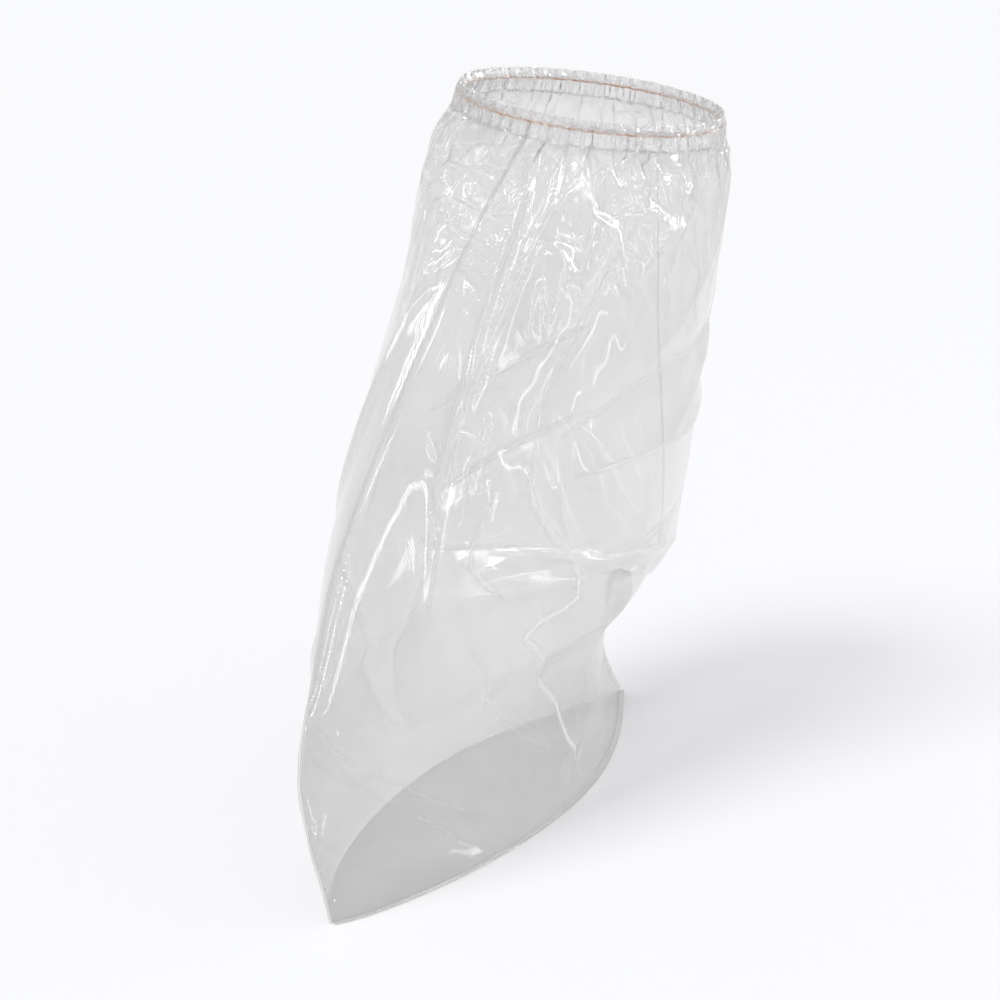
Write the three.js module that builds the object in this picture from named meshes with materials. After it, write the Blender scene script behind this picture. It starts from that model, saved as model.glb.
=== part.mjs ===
import * as THREE from "three";

// An overboot of clear film, in the form that it takes when worn: two film panels welded along the
// shin, the sole edge and the calf, with an elastic thread in a gathered hem at the leg opening.
// Millimetres, +Z up, the toe towards -Y, the wearer's left towards +X.
// Shapes are worked out above the floor, and the whole boot is then moved so that the origin is the
// centre of the elastic ring.

// ---------------------------------------------------------------- driving sizes

const WALL = 1.1; // film wall, thicker than real film so that it is a sound solid
const GAP = 0.3; // clearance between neighbouring pieces
const PANEL_COLUMNS = 25; // mesh columns from the front edge to the back edge of a panel
const PANEL_RUN = 400; // rough length of film from the front edge to the back edge

const RING = { x: 2.7, y: 48.4, height: 410, radius: 82.7 }; // centre line of the elastic
const RING_LEAN = { back: 3.2, side: 6.2 }; // degrees that the leg opening dips to +Y and +X
const PANEL_TOP = RING.height - 10; // where the panels end, just under the hem

const SOLE_ROWS = 4; // mesh rows across the sole
const SOLE_EDGE_RISE = 6; // how far the sole's corners climb the toe edge and the heel edge
const SOLE_EDGE_SHARPNESS = 12; // how close to the corners that climb stays
const SOLE_EDGE_FADE = 78; // height above the floor at which it has faded out

const SEAM = { width: 3, thickness: 1, foot: 5, clearance: 1.5 };
const SOLE_SEAM = { ends: 0.03, steps: 32, slopeStep: 0.005 }; // fractions of the sole edge

const ELASTIC = { radius: 0.9, sides: 6, steps: 54 };
const HEM = { wall: 1, gathers: 18, stepsPerGather: 4, ruffle: 1.7, foot: 0.5, unevenness: 0.35 };

// The worn bag in level sections, from the floor up. The sides are named as the wearer's.
//   height            level above the floor
//   rows              mesh rows from this section up to the next one
//   front, frontX     how far forward the front edge is, and its x
//   back, backX       how far forward the back edge is (negative is behind the ankle), and its x
//   belly             how far forward the section is widest
//   left, right       half widths there
//   nose, tail        how sharply the sides close on the front and back edges: 1 round, 2 pointed
const SECTIONS = table(
  ["height", "rows", "front", "frontX", "back", "backX", "belly", "left", "right", "nose", "tail"],
  [
    [0, 2, 300, 16, -101, 2, 95, 50, 54, 1.6, 2.3],
    [20, 2, 302, 12, -82, 4, 85, 47, 57, 1.6, 2.2],
    [50, 2, 306, 6, -67, 4, 75, 47, 60, 1.6, 2.2],
    [78, 2, 306, 0, -70, 6, 62, 50, 60, 1.7, 1.9],
    [90, 3, 305, 0, -86, 10, 54, 53, 60, 1.7, 1.6],
    [103, 2, 303, 0, -137, 12, 40, 57, 62, 1.7, 1.25],
    [130, 3, 293, 0, -144, 12, 22, 60, 66, 1.6, 1.25],
    [185, 3, 269, 0, -146, 9, 0, 67, 77, 1.5, 1.25],
    [250, 3, 214, 0, -144, 6, -20, 76, 82, 1.4, 1.3],
    [310, 2, 148, 0, -147, 4, -32, 86, 84, 1.3, 1.3],
    [360, 2, 92, 1, -148, 3, -40, 92, 92, 1.2, 1.15],
    [390, 1, 52, 2, -141, 3, -46, 91, 91, 1, 1],
    [PANEL_TOP, 0, 37, 3, -133, 3, -48, 85, 85, 1, 1],
  ],
);

// The main folds, each a straight ridge (or, with a negative depth, a valley) in a panel.
//   side         1 for the left panel, -1 for the right panel
//   u1, h1       start: the fraction of the way from the front edge to the back, and the height
//   u2, h2       end
//   depth        how far the film stands out along the ridge
//   reach        how far the fold spreads to each side, as a height
const FOLDS = table(
  ["side", "u1", "h1", "u2", "h2", "depth", "reach"],
  [
    [1, 0.08, 385, 0.16, 290, 4, 22], // down the shin from the hem
    [1, 0.16, 290, 0.24, 170, 5, 22],
    [1, 0.33, 228, 0.47, 160, 5, 16], // the long ridge beside the ankle
    [1, 0.47, 140, 0.39, 136, 4, 14],
    [1, 0.39, 136, 0.55, 34, 5, 14],
    [1, 0.3, 224, 0.28, 190, 3, 14], // the short ridge in front of it
    [1, 0.07, 114, 0.4, 28, -3, 14], // two long creases across the toe
    [1, 0.12, 104, 0.36, 8, -2.5, 12],
    [1, 0.68, 270, 0.38, 243, -4, 16], // slack folds round the calf
    [1, 0.69, 213, 0.43, 219, 4, 16],
    [1, 0.72, 158, 0.51, 158, -4, 14],
    [1, 0.84, 120, 0.62, 108, 4, 12], // the pouch above the heel
    [-1, 0.12, 350, 0.3, 180, 4, 24],
    [-1, 0.5, 300, 0.4, 120, -4, 22],
    [-1, 0.72, 330, 0.6, 150, 4, 22],
    [-1, 0.84, 118, 0.6, 110, 4, 12],
    [-1, 0.1, 120, 0.42, 40, -3, 14],
  ],
);

// Flutes where the gathered hem lets the film out.
const FLUTES = { count: 6, depth: 2.2, below: 16, fade: 20 };

const FILM = { color: 0xe3e0de, roughness: 0.15, metalness: 0, transparent: true, opacity: 0.45 };
const WELD = { color: 0xd6d2cf, roughness: 0.3, metalness: 0, transparent: true, opacity: 0.6 };
const RUBBER = { color: 0xb8794c, roughness: 0.6, metalness: 0 };

// ---------------------------------------------------------------- small helpers

function table(columns, rows) {
  return rows.map((row) => Object.fromEntries(columns.map((name, k) => [name, row[k]])));
}

function lerp(a, b, t) {
  return a + (b - a) * t;
}

// Smooth curve through one column of the sections, which never swings past its own points.
function sectionValue(column, height) {
  const last = SECTIONS.length - 2;
  let k = 0;
  while (k < last && height > SECTIONS[k + 1].height) k += 1;
  const low = SECTIONS[k];
  const high = SECTIONS[k + 1];
  const step = high.height - low.height;
  const t = THREE.MathUtils.clamp((height - low.height) / step, 0, 1);
  const start = slopeAt(column, k) * step;
  const end = slopeAt(column, k + 1) * step;
  const rise = high[column] - low[column];
  return low[column] + t * (start + t * (3 * rise - 2 * start - end + t * (start + end - 2 * rise)));
}

function slopeAt(column, k) {
  const between = (a, b) => (b[column] - a[column]) / (b.height - a.height);
  if (k === 0) return between(SECTIONS[0], SECTIONS[1]);
  if (k === SECTIONS.length - 1) return between(SECTIONS[k - 1], SECTIONS[k]);
  const below = between(SECTIONS[k - 1], SECTIONS[k]);
  const above = between(SECTIONS[k], SECTIONS[k + 1]);
  return below * above > 0 ? (2 * below * above) / (below + above) : 0;
}

// How far the opening's lean lowers a point: nothing at the floor, all of it at the hem.
function leanDrop(x, y, height) {
  const share = Math.min(1, height / PANEL_TOP) ** 2;
  const back = Math.tan(THREE.MathUtils.degToRad(RING_LEAN.back)) * (y - RING.y);
  const side = Math.tan(THREE.MathUtils.degToRad(RING_LEAN.side)) * (x - RING.x);
  return share * (back + side);
}

// ---------------------------------------------------------------- the film surface

// A point of the inside face: side 1 is left and -1 right, u runs from the front edge (0) to the
// back edge (1).
function filmPoint(side, u, height) {
  const s = {};
  for (const column of Object.keys(SECTIONS[0])) s[column] = sectionValue(column, height);
  const middle = (s.front + s.back) / 2;
  const reach = (s.front - s.back) / 2;
  const along = Math.cos(Math.PI * u);
  const peak = (s.belly - middle) / reach;
  const ahead = along > peak;
  const away = ahead ? (along - peak) / (1 - peak) : (along - peak) / (1 + peak);
  const power = (ahead ? s.nose : s.tail) / 2;
  const swell = Math.max(0, 1 - away * away) ** power;
  const halfWidth = side > 0 ? s.left : s.right;
  const out = halfWidth * swell + (foldHeight(side, u, height) + fluteHeight(u, height)) * swell;
  const x = lerp(s.frontX, s.backX, u) + side * (GAP / 2 + out);
  const y = -(middle + reach * along);
  return new THREE.Vector3(x, y, height - leanDrop(x, y, height));
}

function foldHeight(side, u, height) {
  let sum = 0;
  for (const fold of FOLDS) {
    if (fold.side !== side) continue;
    const run = new THREE.Vector2((fold.u2 - fold.u1) * PANEL_RUN, fold.h2 - fold.h1);
    const at = new THREE.Vector2((u - fold.u1) * PANEL_RUN, height - fold.h1);
    const t = THREE.MathUtils.clamp(at.dot(run) / run.lengthSq(), 0, 1);
    const away = at.sub(run.multiplyScalar(t)).length() / fold.reach;
    sum += fold.depth * Math.exp(-away * away);
  }
  return sum;
}

function fluteHeight(u, height) {
  const away = (PANEL_TOP - FLUTES.below - height) / FLUTES.fade;
  return FLUTES.depth * Math.exp(-away * away) * Math.cos(2 * Math.PI * FLUTES.count * u);
}

// The heights of the mesh rows above the floor.
function rowHeights() {
  const heights = [];
  SECTIONS.forEach((section, k) => {
    for (let n = 0; n < section.rows; n += 1) {
      heights.push(lerp(section.height, SECTIONS[k + 1].height, n / section.rows));
    }
  });
  heights.push(PANEL_TOP);
  return heights;
}

// The left panel's inside face stands on the sole film, a gap above it.
function leftInside() {
  return rowHeights().map((height) =>
    columns((u) => filmPoint(1, u, height).add(new THREE.Vector3(0, 0, WALL + (height ? 0 : GAP)))),
  );
}

// The right panel's inside face starts at the sole edge on the left, crosses the floor, and then
// climbs the right side. The rows across the floor fan out up the toe edge and the heel edge.
function rightInside() {
  const rows = [];
  for (let k = 0; k < SOLE_ROWS; k += 1) {
    const across = k / SOLE_ROWS;
    rows.push(columns((u) => solePoint(u, across)));
  }
  for (const height of rowHeights()) {
    rows.push(columns((u) => filmPoint(-1, u, height + cornerRise(u, 1, height))));
  }
  return rows.map((row) => row.map((p) => p.add(new THREE.Vector3(0, 0, WALL))));
}

function solePoint(u, across) {
  const rise = cornerRise(u, across, 0);
  const leftEdge = filmPoint(1, u, rise);
  const rightEdge = filmPoint(-1, u, rise);
  const atCorner = Math.abs(2 * u - 1) ** SOLE_EDGE_SHARPNESS;
  leftEdge.x += (1 - across) * (WALL * (1 - atCorner) ** 4 - 3 * GAP * Math.sqrt(atCorner));
  return leftEdge.lerp(rightEdge, across);
}

function cornerRise(u, across, height) {
  const fade = Math.max(0, 1 - height / SOLE_EDGE_FADE);
  return SOLE_EDGE_RISE * across * fade * Math.abs(2 * u - 1) ** SOLE_EDGE_SHARPNESS;
}

function columns(pointAt) {
  const row = [];
  for (let k = 0; k <= PANEL_COLUMNS; k += 1) row.push(pointAt(k / PANEL_COLUMNS));
  return row;
}

// ---------------------------------------------------------------- closed solids

function meshGeometry(points, triangles) {
  const geometry = new THREE.BufferGeometry();
  geometry.setAttribute("position", new THREE.Float32BufferAttribute(points.flatMap((p) => [...p]), 3));
  geometry.setIndex(triangles);
  geometry.computeVertexNormals();
  return geometry;
}

// A wall of even thickness from a grid of inside points. The outside face is offset along the
// grid's own normals, and a rim closes all four edges.
function wallGeometry(grid, outwards) {
  const rows = grid.length;
  const width = grid[0].length;
  const inside = grid.flat();
  const faces = [];
  for (let r = 0; r + 1 < rows; r += 1) {
    for (let c = 0; c + 1 < width; c += 1) {
      const a = r * width + c;
      const b = a + 1;
      const d = a + width;
      faces.push([a, b, d + 1], [a, d + 1, d]);
    }
  }
  const flip = outwards < 0;
  const outer = faces.map(([a, b, c]) => (flip ? [a, c, b] : [a, b, c]));
  const normals = meshGeometry(inside, outer.flat()).getAttribute("normal");
  const outside = inside.map((p, k) =>
    p.clone().addScaledVector(new THREE.Vector3().fromBufferAttribute(normals, k), WALL),
  );
  outside.forEach((p, k) => {
    p.z = k < inside.length - width ? Math.max(p.z, 0) : inside[k].z; // floor below, level edge on top
  });
  const shift = inside.length;
  const triangles = outer.map(([a, b, c]) => [a + shift, b + shift, c + shift]);
  triangles.push(...outer.map(([a, b, c]) => [a, c, b]));
  const rim = rimLoop(rows, width);
  rim.forEach((a, k) => {
    const b = rim[(k + 1) % rim.length];
    const quad = [[a, b, b + shift], [a, b + shift, a + shift]];
    triangles.push(...quad.map(([p, q, r]) => (flip ? [p, r, q] : [p, q, r])));
  });
  return meshGeometry([...inside, ...outside], triangles.flat());
}

// Grid indices round the four edges, in the order in which the faces turn.
function rimLoop(rows, width) {
  const loop = [];
  for (let c = 0; c < width - 1; c += 1) loop.push(c);
  for (let r = 0; r < rows - 1; r += 1) loop.push(r * width + width - 1);
  for (let c = width - 1; c > 0; c -= 1) loop.push((rows - 1) * width + c);
  for (let r = rows - 1; r > 0; r -= 1) loop.push(r * width);
  return loop;
}

// A bar swept through a list of cross sections that all have the same number of corners. A closed
// bar joins its last section to its first one.
function sweepGeometry(sections, closed) {
  const sides = sections[0].length;
  const count = sections.length;
  const triangles = [];
  const spans = closed ? count : count - 1;
  for (let k = 0; k < spans; k += 1) {
    const here = k * sides;
    const next = ((k + 1) % count) * sides;
    for (let c = 0; c < sides; c += 1) {
      const d = (c + 1) % sides;
      triangles.push(here + c, next + d, next + c, here + c, here + d, next + d);
    }
  }
  if (!closed) {
    for (let c = 1; c + 1 < sides; c += 1) {
      const end = (count - 1) * sides;
      triangles.push(0, c + 1, c, end, end + c, end + c + 1);
    }
  }
  return meshGeometry(sections.flat(), triangles);
}

// ---------------------------------------------------------------- welds

// A flat strip outside the panels' joined edges, from the edge's points, the direction that points
// away from the bag at each of them, and the direction of the strip's thickness.
function weldStrip(stations) {
  const sections = stations.map(({ at, away, across }) => {
    const near = at.clone().addScaledVector(away, SEAM.clearance);
    const far = near.clone().addScaledVector(away, SEAM.width);
    const half = across.clone().multiplyScalar(SEAM.thickness / 2);
    return [near.clone().sub(half), near.clone().add(half), far.clone().add(half), far.clone().sub(half)];
  });
  return sweepGeometry(sections, false);
}

// The welds up the front edge (u = 0) and the back edge (u = 1), with a station at each mesh row.
function uprightSeam(u) {
  const heights = [SEAM.foot, ...rowHeights().filter((height) => height > 2 * SEAM.foot)];
  const forward = u === 0 ? -1 : 1;
  const points = heights.map((height) =>
    filmPoint(1, u, height).lerp(filmPoint(-1, u, height), 0.5).add(new THREE.Vector3(0, 0, WALL)),
  );
  const awayFrom = (a, b) => {
    const along = points[b].clone().sub(points[a]);
    return new THREE.Vector3(0, forward * along.z, -forward * along.y).normalize();
  };
  const stations = points.map((at, k) => {
    const below = awayFrom(Math.max(k - 1, 0), Math.max(k, 1));
    const above = awayFrom(Math.min(k, points.length - 2), Math.min(k + 1, points.length - 1));
    const away = below.clone().add(above).normalize();
    away.divideScalar(away.dot(above)); // a mitre keeps the strip's width round a corner
    return { at, away, across: new THREE.Vector3(forward, 0, 0) };
  });
  return weldStrip(stations);
}

// The weld along the sole edge, flat on the floor from the toe corner to the heel corner.
function soleSeam() {
  const edge = (u) => filmPoint(1, u, 0);
  const { ends, steps, slopeStep } = SOLE_SEAM;
  const stations = [];
  for (let k = 0; k <= steps; k += 1) {
    const u = lerp(ends, 1 - ends, k / steps);
    const along = edge(u + slopeStep).sub(edge(u - slopeStep));
    const away = new THREE.Vector3(along.y, -along.x, 0).normalize();
    const at = edge(u);
    at.z = SEAM.thickness / 2;
    stations.push({ at, away, across: new THREE.Vector3(0, 0, 1) });
  }
  return weldStrip(stations);
}

// ---------------------------------------------------------------- hem and elastic

// The hem's wall as a folded strip, drawn from its inner lower edge over the top to its outer lower
// edge: distance out from the elastic's centre line, and height above it.
const HEM_FOLD = table(
  ["out", "up"],
  [
    [0.5, -7.9],
    [-1.7, -5.6],
    [-1.9, 0],
    [-1.6, 4.6],
    [0, 6],
    [1.6, 4.6],
    [1.9, 0],
    [2.1, -8.5],
  ],
);

function hemOutline() {
  const path = HEM_FOLD.map(({ out, up }) => new THREE.Vector2(out, up));
  const face = (sign) =>
    path.map((p, k) => {
      const before = path[Math.max(k - 1, 0)];
      const after = path[Math.min(k + 1, path.length - 1)];
      const along = after.clone().sub(before).normalize();
      return new THREE.Vector2(-along.y, along.x).multiplyScalar((sign * HEM.wall) / 2).add(p);
    });
  return [...face(1), ...face(-1).reverse()];
}

// The gathers push both walls in and out together: least at the elastic, most at the ruffled edge.
function gatherShift(angle, up) {
  const top = Math.max(...HEM_FOLD.map((p) => p.up));
  const bottom = Math.min(...HEM_FOLD.map((p) => p.up));
  const rise = up > 0 ? HEM.ruffle * (up / top) ** 2 : HEM.foot * (up / bottom) ** 2;
  const uneven = 1 + HEM.unevenness * Math.sin(3 * angle) * Math.cos(5 * angle + 1);
  return rise * uneven * Math.cos(HEM.gathers * angle);
}

function hemGeometry() {
  const outline = hemOutline();
  const count = HEM.gathers * HEM.stepsPerGather;
  const sections = [];
  for (let k = 0; k < count; k += 1) {
    const angle = (2 * Math.PI * k) / count;
    const radius = (p) => RING.radius + p.x + gatherShift(angle, p.y);
    const place = (p) =>
      new THREE.Vector3(radius(p) * Math.cos(angle), radius(p) * Math.sin(angle), p.y);
    sections.push(outline.map(place));
  }
  return sweepGeometry(sections, true);
}

// ---------------------------------------------------------------- assembly

function named(name, geometry, look) {
  const mesh = new THREE.Mesh(geometry, new THREE.MeshStandardMaterial(look));
  mesh.name = name;
  return mesh;
}

function legOpening() {
  const group = new THREE.Group();
  const back = Math.tan(THREE.MathUtils.degToRad(RING_LEAN.back));
  const side = Math.tan(THREE.MathUtils.degToRad(RING_LEAN.side));
  const up = new THREE.Vector3(side, back, 1).normalize();
  group.quaternion.setFromUnitVectors(new THREE.Vector3(0, 0, 1), up);
  const elastic = new THREE.TorusGeometry(RING.radius, ELASTIC.radius, ELASTIC.sides, ELASTIC.steps);
  group.add(named("top_hem", hemGeometry(), FILM));
  group.add(named("elastic_thread", elastic, RUBBER));
  return group;
}

function film() {
  const group = new THREE.Group();
  group.position.set(-RING.x, -RING.y, -RING.height);
  group.add(named("left_panel", wallGeometry(leftInside(), 1), FILM));
  group.add(named("right_panel", wallGeometry(rightInside(), -1), FILM));
  group.add(named("front_seam", uprightSeam(0), WELD));
  group.add(named("sole_seam", soleSeam(), WELD));
  group.add(named("back_seam", uprightSeam(1), WELD));
  return group;
}

const overboot = new THREE.Group();
overboot.add(film(), legOpening());

export default overboot;
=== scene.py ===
"""A clear film overboot in the form that it takes when worn, finely modelled over its CAD frame.

Shapes are worked out in millimetres above the floor, with the toe towards -Y, and are then moved
into the row frame in metres, whose origin is the centre of the elastic ring.
"""

import math

import bmesh
import bpy
import numpy as np
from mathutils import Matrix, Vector


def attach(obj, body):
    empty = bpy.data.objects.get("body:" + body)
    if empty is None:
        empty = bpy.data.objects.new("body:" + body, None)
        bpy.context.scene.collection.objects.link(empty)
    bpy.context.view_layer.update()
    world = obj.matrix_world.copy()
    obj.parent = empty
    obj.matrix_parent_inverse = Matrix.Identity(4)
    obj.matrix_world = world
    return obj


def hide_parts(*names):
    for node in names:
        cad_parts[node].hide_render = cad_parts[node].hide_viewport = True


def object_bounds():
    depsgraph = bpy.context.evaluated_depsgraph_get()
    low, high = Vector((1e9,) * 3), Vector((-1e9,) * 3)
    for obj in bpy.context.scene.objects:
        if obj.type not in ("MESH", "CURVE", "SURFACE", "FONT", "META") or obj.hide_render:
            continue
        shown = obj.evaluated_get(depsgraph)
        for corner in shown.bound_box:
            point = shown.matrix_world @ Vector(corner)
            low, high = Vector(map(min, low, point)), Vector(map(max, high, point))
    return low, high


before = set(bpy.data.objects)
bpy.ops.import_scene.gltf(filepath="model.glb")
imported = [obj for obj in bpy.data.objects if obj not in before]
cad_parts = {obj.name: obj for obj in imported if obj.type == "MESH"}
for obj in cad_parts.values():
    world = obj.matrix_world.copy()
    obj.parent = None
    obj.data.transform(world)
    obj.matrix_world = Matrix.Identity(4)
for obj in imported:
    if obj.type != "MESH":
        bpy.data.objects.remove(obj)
CAD_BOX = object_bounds()

# ---------------------------------------------------------------- sizes, in millimetres

MM = 0.001
RING = {"x": 2.7, "y": 48.4, "height": 410.0, "radius": 82.7}  # centre line of the elastic
LEAN_BACK, LEAN_SIDE = math.tan(math.radians(3.2)), math.tan(math.radians(6.2))
LEAN_FROM = 400.0  # height at which the level sections have all of the opening's lean
PANEL_TOP = 401.0

ROW_STEP = 1.7  # run of a film mesh row, up the back edge
TUCK_SHARE = 0.6  # how much of the back edge's way in and out counts in that run
COLUMNS = 257  # film mesh columns from the front edge to the back edge
SOLE_ROWS = 40
FINE_STEPS, FINE_ROWS = 1200, 1600  # steps along and up that even spacing is worked out in
SIDE_LENGTH = 430  # about how long one side of a level section is

# The worn bag in sections, from the floor up:
# height, front and back edge (how far forward, and x), how far forward it is widest, half widths
# there on the left and the right, how sharply it closes on the front and the back edge, and how
# far the slack pouch at the back hangs below the section
FORM_COLUMNS = "height front front_x back back_x belly left right nose tail sag".split()
FORM = np.array([
    [0, 300, 16, -101, 2, 95, 50, 54, 1.6, 2.3, 0],
    [20, 302, 12, -82, 4, 85, 47, 57, 1.6, 2.2, 0],
    [50, 306, 6, -67, 4, 75, 47, 60, 1.6, 2.2, 0],
    [84, 306, 0, -76, 7, 62, 49, 60, 1.7, 3.0, 0],
    [95, 305, 0, -79, 10, 60, 50, 60, 1.7, 3.8, 0],
    [102, 304, 0, -110, 11, 56, 52, 60, 1.7, 3.6, 16],
    [109, 302, 0, -137, 12, 44, 55, 62, 1.7, 2.4, 16],
    [135, 291, 0, -143, 12, 20, 61, 67, 1.6, 1.6, 8],
    [185, 269, 0, -146, 9, 0, 67, 77, 1.5, 1.25, 0],
    [250, 214, 0, -144, 6, -20, 75, 82, 1.4, 1.3, 0],
    [310, 148, 0, -146, 4, -32, 84, 84, 1.3, 1.3, 0],
    [360, 92, 1, -146, 3, -40, 87, 92, 1.2, 1.15, 0],
    [390, 52, 2, -138, 3, -46, 86, 91, 1, 1, 0],
    [401, 37, 3, -132, 3, -48, 83, 85, 1, 1, 0],
])
SAG_FROM, SAG_OVER = 40, 60  # how far back the pouch starts to hang, and over what distance

# The film's creases on each side: points (fraction of the way from the front edge to the back,
# height), how far the film stands out along them, and how far that spreads
LEFT_CREASES = [
    ([(.06, 396), (.10, 350), (.14, 300), (.19, 260)], 2.4, 7),
    ([(.15, 396), (.16, 350), (.17, 300), (.19, 260)], 2.4, 6),
    ([(.19, 260), (.21, 225), (.23, 200), (.24, 175), (.25, 150)], 2.8, 8),
    ([(.34, 236), (.35, 215), (.40, 190), (.46, 160), (.47, 136), (.43, 138), (.39, 132),
      (.45, 105), (.50, 88), (.54, 66), (.56, 32), (.57, 15)], 5.5, 11),
    ([(.30, 225), (.29, 202), (.28, 188), (.33, 166), (.37, 152)], 3.2, 9),
    ([(.37, 125), (.44, 90), (.50, 62), (.56, 32)], -2, 5),
    ([(.31, 140), (.40, 92), (.48, 58), (.56, 32)], 2.8, 9),
    ([(.51, 39), (.56, 32), (.62, 44), (.68, 60)], 2.8, 7),
    ([(.56, 32), (.60, 70), (.60, 110), (.57, 140)], 2.8, 7),
    ([(.56, 32), (.55, 12), (.53, 0)], -2.4, 6),
    ([(.05, 120), (.14, 98), (.27, 66), (.40, 22)], -2.4, 12),
    ([(.09, 112), (.20, 72), (.30, 40), (.37, 6)], -2, 10),
    ([(.03, 60), (.12, 36), (.20, 12)], 2, 8),
    ([(.80, 285), (.67, 270), (.50, 260), (.37, 240)], -3.2, 12),
    ([(.80, 232), (.69, 213), (.54, 214), (.42, 217)], 3.6, 11),
    ([(.90, 305), (.80, 290), (.70, 250), (.60, 215)], 2.8, 9),
    ([(.50, 160), (.59, 150), (.70, 152), (.80, 160)], -3.2, 8),
    ([(.50, 160), (.62, 142), (.72, 132), (.84, 128)], 3.6, 8),
    ([(.53, 150), (.62, 128), (.72, 114)], -2.8, 7),
    ([(.80, 396), (.78, 340), (.74, 290), (.70, 250)], 3.2, 9),
    ([(.86, 396), (.85, 350), (.82, 300), (.80, 255)], -3.2, 8),
    ([(.92, 380), (.92, 330), (.90, 290)], 2.8, 8),
    ([(.09, 352), (.15, 353), (.25, 352)], -1.6, 5),
    ([(.48, 372), (.42, 345), (.38, 320)], 2, 8),
    ([(.62, 396), (.60, 340), (.55, 295), (.50, 270)], 2.4, 10),
    ([(.35, 396), (.33, 340), (.32, 290), (.33, 240)], -2, 12),
]
RIGHT_CREASES = [
    ([(.10, 396), (.13, 330), (.18, 270), (.25, 200)], 3.1, 10),
    ([(.22, 396), (.22, 340), (.20, 290)], -2.4, 9),
    ([(.40, 396), (.38, 330), (.33, 270), (.30, 210)], 2.8, 11),
    ([(.55, 396), (.52, 340), (.50, 290), (.44, 230), (.38, 170)], -2.8, 11),
    ([(.72, 396), (.72, 330), (.66, 260), (.60, 200), (.55, 150)], 3.5, 12),
    ([(.88, 385), (.86, 320), (.82, 260)], 2.8, 8),
    ([(.86, 250), (.70, 225), (.52, 215)], -3.1, 12),
    ([(.86, 190), (.72, 175), (.55, 160)], 3.1, 11),
    ([(.84, 118), (.70, 112), (.58, 128), (.5, 150)], 2.8, 8),
    ([(.55, 150), (.5, 110), (.52, 60), (.55, 20)], -2.8, 9),
    ([(.3, 190), (.38, 130), (.46, 80), (.53, 30)], 3.1, 10),
    ([(.05, 120), (.18, 90), (.32, 50), (.42, 15)], -2.4, 11),
    ([(.08, 160), (.18, 130), (.28, 110)], 2.1, 9),
]
CREST = 1.6  # half width of a crease's rounded crest
CREASE_STEP = 14  # length of the straight pieces that a crease is worked out in
CREASE_END = 22  # a crease fades out over this much at each end
CREASE_FADE = 0.7  # power of that fade: below 1, a crease stays deep until near its end
CREASE_TIP = 0.05  # least share of its depth at its very end
WHITE_AND_GLINT_DEPTH = 5  # creases as deep as this are whitened all through, as stress whitening and as a painted highlight on the crest
EDGE_FADE = 0.05  # share of a side over which creases fade near its front and back edge
FLOOR_FADE, HEM_FADE = 15, 12  # heights over which they fade above the floor and below the hem

MINOR_CREASES = 16  # small random creases on each side
MINOR_HEIGHTS, MINOR_PLACES = (20, 385), (0.06, 0.94)  # where their middles lie
MINOR_LENGTHS, MINOR_DEPTHS, MINOR_REACHES = (18, 62), (0.8, 2.0), (4, 8)
# How they slant: above this height, degrees of rise towards the front in the front and in the back
# part of the side, where the back part starts, and how much the slant varies
MINOR_SLANTS = [(260, 90, 90, 0.5, 14), (120, 60, 25, 0.5, 24), (0, -35, 60, 0.55, 22)]
MINOR_U_ENDS, MINOR_HEIGHT_ENDS = (0.02, 0.98), (4, 394)  # their ends go no nearer the edges

# Surplus film across the gathers, as a share, by height
GATHER_HEIGHTS = [0, 60, 110, 185, 250, 310, 360, 385, 395, 401]
GATHER_SURPLUS = [.001, .0015, .002, .004, .007, .012, .03, .12, .34, .50]
UPRIGHT_SURPLUS = 0.0015  # surplus film up the film, everywhere

# The relaxation runs on a coarse, a middle and the full grid: grid step, rounds, bending
# stiffness, pull towards the smooth form, and the most gather surplus that the grid can show
LEVELS = [(4, 900, 0.025, 0.003, 0.05), (2, 600, 0.025, 0.002, 0.13), (1, 450, 0.012, 0.001, 1.0)]
DRAG = 0.85  # share of its last move that a point repeats in the next round
PULL = 0.48  # share of a pair's error that each of its ends makes good at once
CREASING_TURN = 0.10  # turn from one grid cell to the next beyond which the film creases and gives
FILM_ROOM = 0.5  # how close to the middle plane the film may come

# What the film starts from beside its creases: depths in millimetres, and noise cells up and along
WAVES, WAVE_CELLS = 1.3, (9, 12)
FLUTES, FLUTE_CELLS = 1.2, (6, 30)
RIPPLE, CRUMPLED_RIPPLE, CRUMPLE_CELLS = 0.06, 0.7, (64, 90)
GATHER_DEPTH, GATHER_REACH = 2.2, 14  # how far the gathers stand out at the hem, and reach down

# The crumpled film: a band below the hem, and a spot at the toe
CRUMPLED = 45  # how far the band reaches down
TOE_REACH, TOE_HEIGHT, TOE_RISE = 0.06, 32, 24  # the spot's reach in u, its height, its reach up
CRUMPLE_SURPLUS = 0.2  # surplus film up the film, where it is crumpled most
PATCH_CELLS, PATCH_MEAN, PATCH_SEED = (12, 16), 0.3, 50  # the patches that it is crumpled in
CRUMPLE_WHITE_AND_GLINT, WHITE_AND_GLINT_FROM = 0.3, 0.3  # how whitened the sharpest crumples are, and from what bend: stress whitening, and a painted highlight on the crumples


# ---------------------------------------------------------------- the smooth form


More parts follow.
